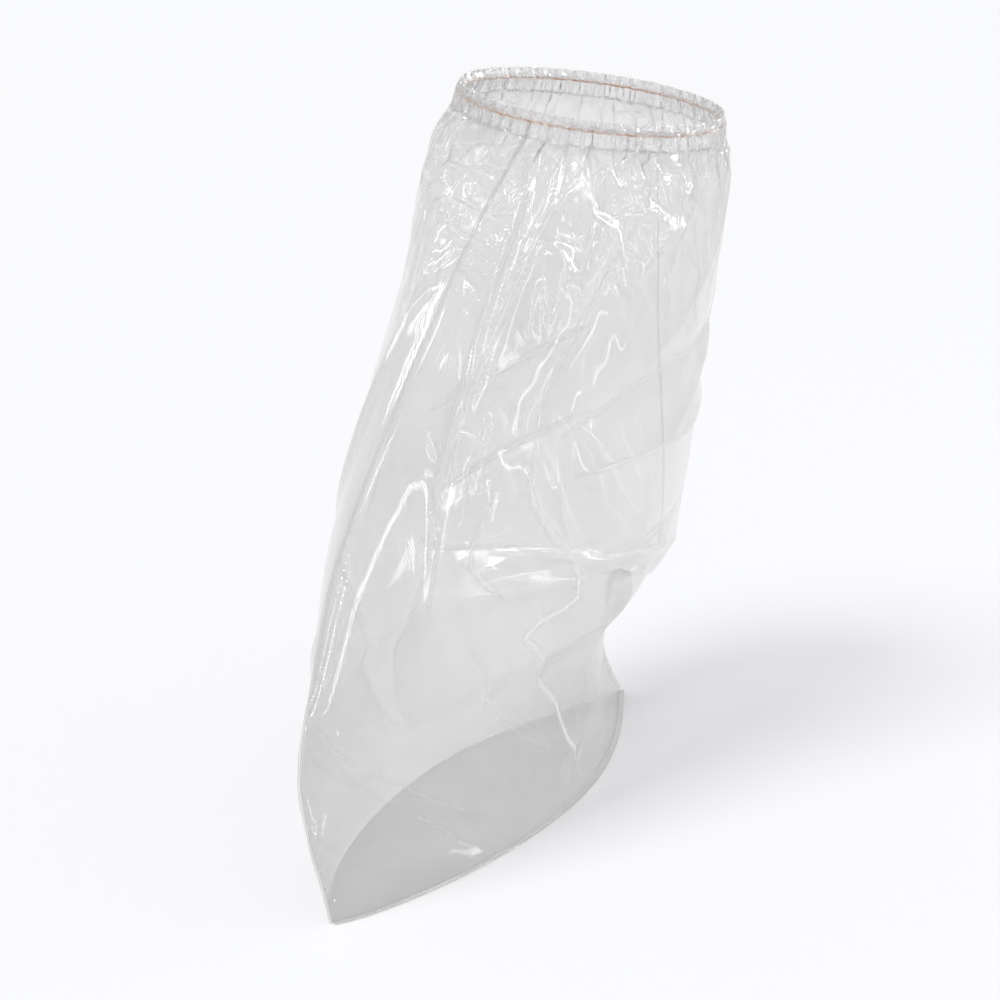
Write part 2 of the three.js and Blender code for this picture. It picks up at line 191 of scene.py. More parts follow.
def form(height):
    """Every column of FORM at these heights, on a curve that never swings past its own points."""
    at = FORM[:, 0]
    k = np.clip(np.searchsorted(at, height, side="right") - 1, 0, len(at) - 2)
    step = at[k + 1] - at[k]
    t = np.clip((height - at[k]) / step, 0, 1)
    values = {}
    for column, name in enumerate(FORM_COLUMNS[1:], 1):
        value = FORM[:, column]
        rise = np.diff(value) / np.diff(at)
        slope = np.zeros(len(at))
        slope[0], slope[-1] = rise[0], rise[-1]
        same = rise[:-1] * rise[1:] > 0
        total = np.where(same, rise[:-1] + rise[1:], 1)
        slope[1:-1] = np.where(same, 2 * rise[:-1] * rise[1:] / total, 0)
        start, end = slope[k] * step, slope[k + 1] * step
        gain = value[k + 1] - value[k]
        curve = start + t * (3 * gain - 2 * start - end + t * (start + end - 2 * gain))
        values[name] = value[k] + t * curve
    return values


def lean_drop(x, y, height):
    """How far the opening's lean lowers a point: nothing at the floor, all of it at the hem."""
    share = np.minimum(1, height / LEAN_FROM) ** 2
    return share * (LEAN_BACK * (y - RING["y"]) + LEAN_SIDE * (x - RING["x"]))


def surface(side, u, height):
    """Points of the smooth bag, and the x of its middle plane there."""
    f = form(height)
    middle, reach = (f["front"] + f["back"]) / 2, (f["front"] - f["back"]) / 2
    along = np.cos(np.pi * u)
    peak = (f["belly"] - middle) / reach
    ahead = along > peak
    away = np.where(ahead, (along - peak) / (1 - peak), (along - peak) / (1 + peak))
    power = np.where(ahead, f["nose"], f["tail"]) / 2
    swell = np.maximum(0, 1 - away * away) ** power
    middle_x = f["front_x"] * (1 - u) + f["back_x"] * u
    x = middle_x + side * (f["left"] if side > 0 else f["right"]) * swell
    y = -(middle + reach * along)
    hung = np.clip((y - SAG_FROM) / SAG_OVER, 0, 1)
    sag = f["sag"] * hung * hung * (3 - 2 * hung)
    return np.stack([x, y, height - sag - lean_drop(x, y, height)], -1), middle_x


def even_grid(side, heights, columns):
    """The smooth bag as a grid with even steps along each level section."""
    fine = np.linspace(0, 1, FINE_STEPS + 1)
    points, fractions, middles = [], [], []
    for height in heights:
        line, _ = surface(side, fine, np.full_like(fine, height))
        steps = np.linalg.norm(np.diff(line, axis=0), axis=1)
        run = np.concatenate([[0], np.cumsum(steps)])
        u = np.interp(np.linspace(0, run[-1], columns), run, fine)
        row, middle_x = surface(side, u, np.full_like(u, height))
        points.append(row)
        fractions.append(u)
        middles.append(middle_x)
    return np.array(points), np.array(fractions), np.array(middles)


def unit(vectors):
    return vectors / (np.linalg.norm(vectors, axis=-1, keepdims=True) + 1e-9)


def row_heights(step):
    """Heights of the mesh rows: closer together where the back of the bag tucks in."""
    height = np.linspace(0, PANEL_TOP, FINE_ROWS + 1)
    run = np.hypot(np.diff(height), TUCK_SHARE * np.diff(form(height)["back"]))
    run = np.concatenate([[0], np.cumsum(run)])
    return np.interp(np.linspace(0, run[-1], int(round(run[-1] / step)) + 1), run, height)


def grid_frames(grid):
    """Along the rows, up the film, and out of it, at each grid point."""
    along = unit(np.gradient(grid, axis=1))
    out = unit(np.cross(along, np.gradient(grid, axis=0)))
    return along, np.cross(out, along), out


# ---------------------------------------------------------------- creases and gathers


def smooth_noise(shape, cells, rng):
    """Noise of about unit size that is smooth between the knots of a coarse random grid."""
    knots = rng.standard_normal((cells[0] + 3, cells[1] + 3))

    def weights(count, length):
        at = np.linspace(0, count, length)
        first = np.minimum(at.astype(int), count - 1)
        t = at - first
        w = [(1 - t) ** 3, 3 * t**3 - 6 * t**2 + 4, -3 * t**3 + 3 * t**2 + 3 * t + 1, t**3]
        return first, np.array(w) / 6

    row, row_w = weights(cells[0], shape[0])
    col, col_w = weights(cells[1], shape[1])
    noise = np.zeros(shape)
    for a in range(4):
        for b in range(4):
            noise += row_w[a][:, None] * col_w[b][None] * knots[row + a][:, col + b]
    return noise


def crease_fields(grid, side, creases):
    """How far the film stands out along its creases, and how whitened it is on them: stress
    whitening, and a painted highlight along each crest.
    """
    raised, whitening_and_painted_glint = np.zeros(grid.shape[:2]), np.zeros(grid.shape[:2])
    for points, depth, reach in creases:
        u, height = np.array(points, float).T
        steps = np.hypot(np.diff(u) * SIDE_LENGTH, np.diff(height))
        length = np.concatenate([[0], np.cumsum(steps)])
        at = np.linspace(0, length[-1], max(2, int(length[-1] / CREASE_STEP) + 1))
        line, _ = surface(side, np.interp(at, length, u), np.interp(at, length, height))
        nearest, where = np.full(grid.shape[:2], 1e9), np.zeros(grid.shape[:2])
        for k in range(len(at) - 1):
            run = line[k + 1] - line[k]
            share = np.clip((grid - line[k]) @ run / (run @ run), 0, 1)
            away = np.linalg.norm(grid - line[k] - share[..., None] * run, axis=-1)
            where = np.where(away < nearest, at[k] + share * (at[k + 1] - at[k]), where)
            nearest = np.minimum(nearest, away)
        from_end = np.minimum(where, length[-1] - where) / CREASE_END
        depth = depth * np.clip(from_end, CREASE_TIP, 1) ** CREASE_FADE
        raised += depth * np.exp(-np.hypot(nearest, CREST) / reach)
        whitening_and_painted_glint = np.maximum(whitening_and_painted_glint, (depth / WHITE_AND_GLINT_DEPTH) ** 2 * np.exp(-((nearest / CREST) ** 2)))
    return raised, np.minimum(1, whitening_and_painted_glint)


def minor_creases(rng):
    """Small random creases: upright near the hem, slanting below it."""
    made = []
    for _ in range(MINOR_CREASES):
        height, u = rng.uniform(*MINOR_HEIGHTS), rng.uniform(*MINOR_PLACES)
        _, front, back, divide, spread = next(row for row in MINOR_SLANTS if height > row[0])
        angle = math.radians(rng.normal(front if u < divide else back, spread))
        length = rng.uniform(*MINOR_LENGTHS)
        du = -math.cos(angle) * length / (2 * SIDE_LENGTH)
        dh = math.sin(angle) * length / 2
        line = np.array([(u - du, height - dh), (u, height), (u + du, height + dh)])
        line = np.clip(line, *zip(MINOR_U_ENDS, MINOR_HEIGHT_ENDS))
        depth = rng.choice([-1, 1]) * rng.uniform(*MINOR_DEPTHS)
        made.append((line, depth, rng.uniform(*MINOR_REACHES)))
    return made


def gather_wave(angle):
    """The uneven gathers round the opening, from -1 to 1."""
    wide = np.sin(46 * angle + 1.7 * np.sin(3 * angle + 0.4) + 1.1 * np.sin(7 * angle))
    narrow = np.sin(71 * angle + 2.1 * np.sin(2 * angle + 2) + 1.3 * np.sin(5 * angle + 1))
    return 0.62 * wide + 0.38 * narrow


# ---------------------------------------------------------------- relaxation of the film


def rest_lengths(grid, surplus):
    """Lengths of the film between neighbours along, up, and both ways across each grid cell."""
    along, up, _ = grid_frames(grid)

    def lengths(a, b):
        run = grid[b] - grid[a]
        length = np.linalg.norm(run, axis=-1)
        heading = run / (length[..., None] + 1e-9)
        c = (heading * (along[a] + along[b]) / 2).sum(-1)
        s = (heading * (up[a] + up[b]) / 2).sum(-1)
        whole = c * c + s * s + 1e-9
        extra = (surplus[a] + surplus[b]) / 2
        share = (extra[..., 0] * c * c + 2 * extra[..., 1] * c * s + extra[..., 2] * s * s) / whole
        return length * (1 + share)

    low, high, every = slice(None, -1), slice(1, None), slice(None)
    return (
        lengths((every, low), (every, high)),
        lengths((low, every), (high, every)),
        lengths((low, low), (high, high)),
        lengths((low, high), (high, low)),
    )


def pull_pairs(points, a, b, length):
    """Moves both ends of each of these pairs so that they are as far apart as the film allows."""
    run = points[b] - points[a]
    now = np.sqrt((run * run).sum(-1)) + 1e-9
    run *= (PULL * (now - length) / now)[..., None]
    points[a] += run
    points[b] -= run


def difference(field):
    """The sum of each point's differences from its four neighbours."""
    padded = np.pad(field, ((1, 1), (1, 1), (0, 0)), mode="edge")
    near = padded[:-2, 1:-1] + padded[2:, 1:-1] + padded[1:-1, :-2] + padded[1:-1, 2:]
    return near - 4 * field


def relax(points, smooth, rest, pinned, rounds, stiffness, pull, limit, confine=None):
    """Lets the film find its folds: it keeps its lengths and resists bending, but where it bends
    past the limit it creases and gives, so that flat facets meet in sharp ridges."""
    points, smooth = points.astype(np.float32), smooth.astype(np.float32)
    along, up, rising, falling = (lengths.astype(np.float32) for lengths in rest)
    rows, columns = points.shape[:2]
    held = points[pinned].copy()
    last = points.copy()
    every, low, high = slice(None), slice(0, columns - 1), slice(1, columns)
    for _ in range(rounds):
        drift = (points - last) * DRAG
        last = points.copy()
        points = points + drift + pull * (smooth - points)
        bend = difference(points - smooth)
        given = np.sqrt(1 + (bend * bend).sum(-1, keepdims=True) / (limit * limit))
        points -= difference(bend * (stiffness / given))
        for odd in (0, 1):
            count = (columns - odd) // 2
            a, b = slice(odd, odd + 2 * count - 1, 2), slice(odd + 1, odd + 2 * count, 2)
            pull_pairs(points, (every, a), (every, b), along[:, odd::2][:, :count])
            count = (rows - odd) // 2
            a, b = slice(odd, odd + 2 * count - 1, 2), slice(odd + 1, odd + 2 * count, 2)
            pull_pairs(points, (a, every), (b, every), up[odd::2][:count])
            pull_pairs(points, (a, low), (b, high), rising[odd::2][:count])
            pull_pairs(points, (a, high), (b, low), falling[odd::2][:count])
        if confine:
            confine(points)
        points[pinned] = held
    return points


def resized(field, rows, columns):
    """The field on another grid of the same extent."""
    y = np.linspace(0, field.shape[0] - 1, rows)
    x = np.linspace(0, field.shape[1] - 1, columns)
    row = np.minimum(y.astype(int), field.shape[0] - 2)
    col = np.minimum(x.astype(int), field.shape[1] - 2)
    t, s = (y - row)[:, None, None], (x - col)[None, :, None]
    low = field[row][:, col] * (1 - s) + field[row][:, col + 1] * s
    high = field[row + 1][:, col] * (1 - s) + field[row + 1][:, col + 1] * s
    return low * (1 - t) + high * t


def film_wall(side, creases, seed):
    """One side of the bag, creased and gathered: grid points, and how whitened they are, by stress
    whitening and by a painted highlight on creases and sharp crumples.
    """
    rng = np.random.default_rng(seed)
    creases = creases + minor_creases(rng)
    folded = None
    for step, rounds, stiffness, pull, most in LEVELS:
        heights = row_heights(ROW_STEP * step)
        smooth, u, middle_x = even_grid(side, heights, (COLUMNS - 1) // step + 1)
        size = smooth.shape[:2]
        height = np.repeat(heights[:, None], size[1], 1)
        below = PANEL_TOP - height
        out = grid_frames(smooth)[2]
        out *= np.sign((out[..., 0] * side).sum())
        edge = np.minimum(1, np.minimum(u, 1 - u) / EDGE_FADE) * np.minimum(1, height / FLOOR_FADE)
        raised, whitening_and_painted_glint = crease_fields(smooth, side, creases)
        raised *= edge * np.minimum(1, below / HEM_FADE)
        creased = smooth + out * raised[..., None]

        crumpled = np.exp(-((below / CRUMPLED) ** 2))
        crumpled += np.exp(-((u / TOE_REACH) ** 2) - ((height - TOE_HEIGHT) / TOE_RISE) ** 2)
        patch_rng = np.random.default_rng(seed + PATCH_SEED)
        patches = PATCH_MEAN + smooth_noise(size, PATCH_CELLS, patch_rng)
        surplus = np.zeros(size + (3,))
        surplus[..., 0] = np.minimum(np.interp(height, GATHER_HEIGHTS, GATHER_SURPLUS), most)
        surplus[..., 2] = UPRIGHT_SURPLUS + CRUMPLE_SURPLUS / step * crumpled * np.maximum(0, patches)

        if folded is None:
            waves = WAVES * smooth_noise(size, WAVE_CELLS, rng)
            flutes = FLUTES * smooth_noise(size, FLUTE_CELLS, rng) * height / PANEL_TOP
            points = creased + out * ((waves + flutes) * edge)[..., None]
        else:
            cells = (CRUMPLE_CELLS[0] // step, CRUMPLE_CELLS[1] // step)
            ripple = (RIPPLE + CRUMPLED_RIPPLE * crumpled) * smooth_noise(size, cells, rng)
            points = creased + resized(folded, *size) + out * (ripple * edge)[..., None]
        if step == 1:
            angle = np.arctan2(smooth[..., 1] - RING["y"], smooth[..., 0] - RING["x"])
            outward = np.stack([np.cos(angle), np.sin(angle), 0 * angle], -1)
            fade = np.exp(-((below / GATHER_REACH) ** 2)) * np.sqrt(edge)
            points += outward * (GATHER_DEPTH * gather_wave(angle) * fade)[..., None]
        pinned = np.zeros(size, bool)
        pinned[[0, -1]] = True
        pinned[:, [0, -1]] = True

        def confine(film):
            room = np.maximum(side * (film[..., 0] - middle_x), FILM_ROOM)
            film[..., 0] = middle_x + side * room
            film[..., 2] = np.maximum(film[..., 2], 0)

        limit = CREASING_TURN * ROW_STEP * step
        rest = rest_lengths(creased, surplus)
        points = relax(points, creased, rest, pinned, rounds, stiffness, pull, limit, confine)
        folded = points - creased
    # The sharpest bends are whitened as well: stress whitening, and a painted highlight on the
    # crumples.
    bend = np.linalg.norm(difference(points - creased), axis=-1, keepdims=True)
    for _ in range(2):
        bend = bend + difference(bend) / 8
    return points, np.maximum(whitening_and_painted_glint, CRUMPLE_WHITE_AND_GLINT * np.clip(bend[..., 0] - WHITE_AND_GLINT_FROM, 0, 1))


# ---------------------------------------------------------------- meshes

SAME_POINT = 1e-7  # points nearer than this, in metres, are one


def in_frame(points):
    """From millimetres above the floor to metres in the row frame."""
    return (np.asarray(points, float) - [RING["x"], RING["y"], RING["height"]]) * MM


def numbered(grid):
    """The number of each point of a grid."""
    return np.arange(grid.shape[0] * grid.shape[1]).reshape(grid.shape[:2])


def grid_quads(index):
    """The quads of a grid of point numbers."""
    corners = [index[:-1, :-1], index[:-1, 1:], index[1:, 1:], index[1:, :-1]]
    return np.stack(corners, -1).reshape(-1, 4)


def grid_piece(name, points, flat, material, closed=False, **fields):
    """A piece from a grid of points in the row frame, its flat pattern as UVs, and point fields.
    Points that coincide, such as those where the sole ends at the toe, are joined."""
    index = numbered(points)
    if closed:
        index = np.concatenate([index, index[:, :1]], 1)
    mesh = bpy.data.meshes.new(name)
    mesh.from_pydata(points.reshape(-1, 3).tolist(), [], grid_quads(index).tolist())
    flat_corners = grid_quads(numbered(flat)).reshape(-1)
    uv = mesh.uv_layers.new(name="flat")
    uv.data.foreach_set("uv", flat.reshape(-1, 2)[flat_corners].astype(np.float32).ravel())
    for field, values in fields.items():
        attribute = mesh.attributes.new(field, "FLOAT", "POINT")
        attribute.data.foreach_set("value", np.asarray(values, np.float32).ravel())
    mesh.validate()
    joined = bmesh.new()
    joined.from_mesh(mesh)
    bmesh.ops.remove_doubles(joined, verts=joined.verts, dist=SAME_POINT)
    joined.to_mesh(mesh)
    joined.free()
    mesh.shade_smooth()
    mesh.materials.append(material)
    piece = bpy.data.objects.new(name, mesh)
    bpy.context.scene.collection.objects.link(piece)
    return piece


def flat_pattern(points, closed=False):
    """Flat coordinates in metres for a grid: run along the rows, and mean run up the columns."""
    grid = np.concatenate([points, points[:, :1]], 1) if closed else points
    across = np.linalg.norm(np.diff(grid, axis=1), axis=-1)
    run = np.concatenate([np.zeros((len(grid), 1)), np.cumsum(across, 1)], 1)
    run -= run[:, -1:] / 2
    rise = np.concatenate([[0], np.cumsum(np.linalg.norm(np.diff(grid, axis=0), axis=-1).mean(1))])
    return np.stack([run, np.repeat(rise[:, None], grid.shape[1], 1)], -1)


def finish_piece(piece, node):
    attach(piece, "root")
    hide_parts(node)
    return piece


# ---------------------------------------------------------------- materials


class Nodes:
    """A new material's node tree, with short ways to add and link nodes."""

    def __init__(self, name):
        self.material = bpy.data.materials.new(name)
        self.material.use_nodes = True
        self.tree = self.material.node_tree
        self.tree.nodes.clear()

    def add(self, kind, inputs=None, **settings):
        node = self.tree.nodes.new("ShaderNode" + kind)
        for key, value in settings.items():
            setattr(node, key, value)
        for key, value in (inputs or {}).items():
            if isinstance(value, bpy.types.NodeSocket):
                self.tree.links.new(value, node.inputs[key])
            else:
                node.inputs[key].default_value = value
        return node

    def math(self, operation, a, b=0.0, c=0.0):
        return self.add("Math", {0: a, 1: b, 2: c}, operation=operation).outputs[0]

    def ramp(self, value, low, high, out_low, out_high):
        inputs = {"Value": value, 1: low, 2: high, 3: out_low, 4: out_high}
        return self.add("MapRange", inputs).outputs[0]


LATTICE_PITCH, LATTICE_SLANT, LATTICE_DEPTH = 0.0018, 0.7, 0.00007
CRINKLE_SCALE, CRINKLE_STRENGTH, CRINKLE_DEPTH = 240, 0.15, 0.00015
CRINKLE_STRETCH = (1, 1, 0.55)  # the fine crinkles are longer up the film than along it
CLOUD_SCALE, CLOUD_LOW, CLOUD_HIGH = 14, 0.3, 0.7  # slow changes in haze and roughness
FACING_MIRROR = 0.045  # what one face of the film mirrors of light from straight ahead
RIDGE_MIRROR, RIDGE_ROUGHNESS = 0.22, 0.22  # how much more a whitened ridge mirrors, and how dully
# The first colour is the film's own haze; the second is what creases are mixed towards: stress
# whitening, and a painted highlight along them.
MILK, WHITENED_AND_GLINT = (0.66, 0.645, 0.64), (0.97, 0.97, 0.97)


def film_material(name, tint, haze, crease_haze_and_glint, roughness, milk=MILK, lattice=1.0, crinkle=1.0):
    """Thin clear film: it lets light straight through, mirrors a little from both of its faces,
    and is milkier and whiter where it is creased, partly stress whitening and partly a painted
    highlight along the creases. A fine diamond lattice is embossed in it."""
    n = Nodes(name)
    coordinates = n.add("TexCoord").outputs["Object"]
    flat = n.add("UVMap", uv_map="flat").outputs["UV"]
    creased = n.add("Attribute", attribute_name="crease").outputs["Fac"]

    split = n.add("SeparateXYZ", {0: flat})
    lines = []
    for operation in ("ADD", "SUBTRACT"):
        rise = n.math("MULTIPLY", split.outputs[1], LATTICE_SLANT)
        slant = n.math(operation, split.outputs[0], rise)
        saw = n.math("PINGPONG", slant, LATTICE_PITCH / 2)
        lines.append(n.ramp(saw, 0, LATTICE_PITCH / 4, 1, 0))
    diamonds = n.math("MAXIMUM", lines[0], lines[1])

    stretched = n.add("Mapping", {"Vector": coordinates, "Scale": CRINKLE_STRETCH}).outputs[0]
    crinkled = n.add("TexNoise", {"Vector": stretched, "Scale": CRINKLE_SCALE, "Detail": 3,
                                  "Distortion": 0.6})
    cloudy = n.add("TexNoise", {"Vector": coordinates, "Scale": CLOUD_SCALE, "Detail": 2}).outputs[0]
    bump = n.add("Bump", {"Strength": lattice, "Distance": LATTICE_DEPTH, "Height": diamonds})
    bump = n.add("Bump", {"Strength": CRINKLE_STRENGTH * crinkle, "Distance": CRINKLE_DEPTH,
                          "Height": crinkled.outputs[0], "Normal": bump.outputs[0]})
    normal = bump.outputs[0]

    facing = n.add("LayerWeight", {"Blend": 0.5, "Normal": normal}).outputs["Facing"]
    grazing = n.math("POWER", facing, 5)
    single = n.ramp(grazing, 0, 1, FACING_MIRROR, 1)
    both = n.math("DIVIDE", n.math("MULTIPLY", single, 2), n.math("ADD", single, 1))

    ridge = n.math("POWER", creased, 2)
    both = n.math("ADD", both, n.math("MULTIPLY", ridge, RIDGE_MIRROR))
    rough = n.math("ADD", n.ramp(cloudy, CLOUD_LOW, CLOUD_HIGH, roughness * 0.8, roughness * 1.25),
                   n.math("MULTIPLY", ridge, RIDGE_ROUGHNESS))
    # Creases make the film milkier: partly stress whitening, partly a painted highlight along them.
    milky = n.math("ADD", n.ramp(cloudy, CLOUD_LOW, CLOUD_HIGH, haze * 0.7, haze * 1.3),
                   n.math("MULTIPLY", creased, crease_haze_and_glint))

    # Creased film is mixed towards the whitened colour: stress whitening, and a painted highlight
    # along the creases.
    whitening_and_painted_glint = n.add("Mix", {0: creased, 6: (*milk, 1), 7: (*WHITENED_AND_GLINT, 1)}, data_type="RGBA")
    clear = n.add("BsdfTransparent", {"Color": (*tint, 1)})
    lit = n.add("BsdfDiffuse", {"Color": whitening_and_painted_glint.outputs[2], "Normal": normal})
    glow = n.add("BsdfTranslucent", {"Color": whitening_and_painted_glint.outputs[2], "Normal": normal})
    veil = n.add("MixShader", {0: 0.5, 1: lit.outputs[0], 2: glow.outputs[0]})
    body = n.add("MixShader", {0: milky, 1: clear.outputs[0], 2: veil.outputs[0]})
    gloss = n.add("BsdfGlossy", {"Color": (1, 1, 1, 1), "Roughness": rough, "Normal": normal})
    film = n.add("MixShader", {0: both, 1: body.outputs[0], 2: gloss.outputs[0]})
    n.add("OutputMaterial", {"Surface": film.outputs[0]})
    return n.material


STRAND_PITCH, STRAND_SLANT, STRAND_DEPTH, MOTTLE_SCALE = 0.0016, 0.8, 0.0003, 900
RUBBER_DARK, RUBBER_LIGHT = (0.50, 0.22, 0.09, 1), (0.68, 0.36, 0.17, 1)


def rubber_material():
    """Orange-brown elastic: a dull thread of wound strands."""
    n = Nodes("elastic")
    flat = n.add("UVMap", uv_map="flat").outputs["UV"]
    split = n.add("SeparateXYZ", {0: flat})
    slant = n.math("ADD", split.outputs[0], n.math("MULTIPLY", split.outputs[1], STRAND_SLANT))
    strands = n.math("SINE", n.math("MULTIPLY", slant, 2 * math.pi / STRAND_PITCH))
    coordinates = n.add("TexCoord").outputs["Object"]
    mottle = n.add("TexNoise", {"Vector": coordinates, "Scale": MOTTLE_SCALE,
                                "Detail": 3}).outputs[0]
    colour = n.add("Mix", {0: n.ramp(mottle, 0.3, 0.7, 0, 1), 6: RUBBER_DARK, 7: RUBBER_LIGHT},
                   data_type="RGBA")
    bump = n.add("Bump", {"Strength": 0.6, "Distance": STRAND_DEPTH, "Height": strands})
    rough = n.ramp(mottle, 0.3, 0.7, 0.5, 0.75)
    skin = n.add("BsdfPrincipled", {"Base Color": colour.outputs[2], "Roughness": rough,
                                    "Normal": bump.outputs[0]})
    n.add("OutputMaterial", {"Surface": skin.outputs[0]})
    return n.material


FILM = film_material("film", tint=(0.935, 0.928, 0.93), haze=0.22, crease_haze_and_glint=0.8,
                     roughness=0.055)
HEM_FILM = film_material("hem_film", tint=(0.95, 0.945, 0.945), haze=0.10, crease_haze_and_glint=0.22,
                         roughness=0.08, milk=(0.84, 0.82, 0.81))
WELD = film_material("weld", tint=(0.95, 0.945, 0.94), haze=0.30, crease_haze_and_glint=0.15,
                     roughness=0.16, milk=(0.85, 0.84, 0.83), lattice=0.3, crinkle=1.4)
RUBBER = rubber_material()


# ---------------------------------------------------------------- the film panels


# The second field of each side is its whitening: stress whitening, and a painted highlight on creases
# and crumples.
left_points, left_white_and_glint = film_wall(1, LEFT_CREASES, seed=6)
right_points, right_white_and_glint = film_wall(-1, RIGHT_CREASES, seed=4)


def faded_ends(count, fade):
    """1 along a row of points, and from 0 up to that over this many points at each end."""
    at = np.arange(count)
    return np.minimum(1, np.minimum(at, at[::-1]) / fade)


SOLE_RIPPLE, SOLE_CELLS, SOLE_END = 0.9, (4, 22), 20


def sole_film():
    """The right film's lower part: from the sole edge on the left, flat across the floor."""
    rng = np.random.default_rng(11)
    across = np.arange(SOLE_ROWS) / SOLE_ROWS
    rows = left_points[0] + across[:, None, None] * (right_points[0] - left_points[0])
    noise = smooth_noise((SOLE_ROWS, COLUMNS), SOLE_CELLS, rng)
    ripples = np.abs(noise) * faded_ends(COLUMNS, SOLE_END)
    rows[..., 2] += SOLE_RIPPLE * ripples * np.sin(np.pi * across)[:, None]
    return rows


left_film = grid_piece("left_film", in_frame(left_points), flat_pattern(in_frame(left_points)),
                       FILM, crease=left_white_and_glint)
finish_piece(left_film, "left_panel")

whole_right = np.concatenate([sole_film(), right_points])
whole_white_and_glint = np.concatenate([np.zeros((SOLE_ROWS, COLUMNS)), right_white_and_glint])
right_film = grid_piece("right_film", in_frame(whole_right), flat_pattern(in_frame(whole_right)),
                        FILM, crease=whole_white_and_glint)
finish_piece(right_film, "right_panel")


# ---------------------------------------------------------------- welds

WELD_WIDTH, WELD_ROWS, WELD_THICKNESS = 3.2, 5, 0.0001
WELD_WAVE, WAVE_COLUMNS = 0.25, 9  # how far the strip waves, and columns to a noise cell
WIDTH_CHANGE, CHANGE_COLUMNS = 0.05, 14  # how its width changes, and columns to a noise cell
WELD_END = 6  # columns over which the waves fade at each end
WELD_LIFT = 0.0002  # how far above the floor the strip stays, in metres


def weld_piece(name, edge, away, across, node, seed):
    """A narrow strip along a joined edge: two films fused flat, a little wavy from the heat."""
    rng = np.random.default_rng(seed)
    count = len(edge)
    wave = WELD_WAVE * smooth_noise((1, count), (1, count // WAVE_COLUMNS), rng)[0]
    change = smooth_noise((1, count), (1, count // CHANGE_COLUMNS), rng)[0]
    width = WELD_WIDTH * (1 + WIDTH_CHANGE * change)
    ends = faded_ends(count, WELD_END)
    rows = []
    for t in np.linspace(0, 1, WELD_ROWS):
        rows.append(edge + away * (width * t)[:, None] + across * (wave * ends * t)[:, None])
    points = in_frame(np.array(rows))
    points[..., 2] = np.maximum(points[..., 2], -RING["height"] * MM + WELD_LIFT)
    inner = np.repeat(np.linspace(1, 0, WELD_ROWS)[:, None] ** 4, count, 1)
    piece = grid_piece(name, points, flat_pattern(points), WELD, crease=inner)
    solid = piece.modifiers.new("thickness", "SOLIDIFY")
    solid.thickness, solid.offset = WELD_THICKNESS, 0
    return finish_piece(piece, node)


def upright_weld(name, column, forward, node, seed):
    """The weld up the front edge, forward -1, or the back edge, forward 1."""
    edge = (left_points[:, column] + right_points[:, column]) / 2
    along = unit(np.gradient(edge, axis=0))
    away = np.stack([0 * along[:, 0], forward * along[:, 2], -forward * along[:, 1]], -1)
    return weld_piece(name, edge, unit(away), np.array([1.0, 0, 0]), node, seed)


upright_weld("front_weld", 0, -1, "front_seam", 21)
upright_weld("back_weld", -1, 1, "back_seam", 22)
sole_edge = left_points[0]
sole_along = unit(np.gradient(sole_edge, axis=0))
sole_away = np.stack([sole_along[:, 1], -sole_along[:, 0], 0 * sole_along[:, 0]], -1)
weld_piece("sole_weld", sole_edge, sole_away, np.array([0, 0, 1.0]), "sole_seam", 23)


# ---------------------------------------------------------------- hem and elastic

HEM_STEPS = 900
# The hem's outer wall from its lower edge to the ruffled top: distance out from the elastic's
# centre line, height above it, and how far apart the two walls of the channel are
HEM_WALL = np.array([
    [2.6, -10.0, 1.4],
    [2.3, -6.5, 1.2],
    [1.9, -3.0, 2.4],
    [1.7, 0.0, 3.2],
    [1.3, 2.5, 2.2],
    [0.5, 4.8, 0.7],
    [0.2, 6.6, 0.1],
])
HEM_ROWS, HELD_ROW = 15, 9  # the held row keeps its place, 2 mm above the elastic
HEM_SURPLUS = 0.5  # gathers of the flat hem, as a share of its gathered length
HEM_GATHERS = (GATHER_DEPTH, 1.2)  # how far the gathers stand out at its lower edge and its top
HEM_WAVES, WAVES_BELOW, WAVE_CELLS_ROUND = 0.8, 0.5, (3, 110)  # depth, and share of it low down
FINE_WAVES, FINE_CELLS_ROUND = 0.4, (5, 260)  # fine waves, as a share of that depth
TOP_WAVES, TOP_CELLS_ROUND = 0.7, (1, 60)  # how far the ruffled top goes up and down
HEM_RELAX = {"rounds": 260, "stiffness": 0.004, "pull": 0.004, "limit": 0.25}
FILM_GAP = 0.15  # between the walls of the hem where they lie on each other
HEM_CREASED = 0.0012  # turn, in metres from one grid cell to the next, that whitens the hem fully: stress whitening, and a painted highlight on its sharp crumples

ELASTIC_STEPS, ELASTIC_SIDES, ELASTIC_RADIUS = 720, 10, 0.7
ELASTIC_GATHER, ELASTIC_WAVE = 0.12, 0.3  # how far it goes in and out, and up and down
STRANDS, STRAND_BULGE, STRAND_TURNS = 180, 0.06, 2


def ring_up():
    return Vector((LEAN_SIDE, LEAN_BACK, 1)).normalized()


def from_ring(points):
    """Points about the ring's own centre, in millimetres, to the row frame."""
    turn = np.array(Vector((0, 0, 1)).rotation_difference(ring_up()).to_matrix())
    return points @ turn.T * MM


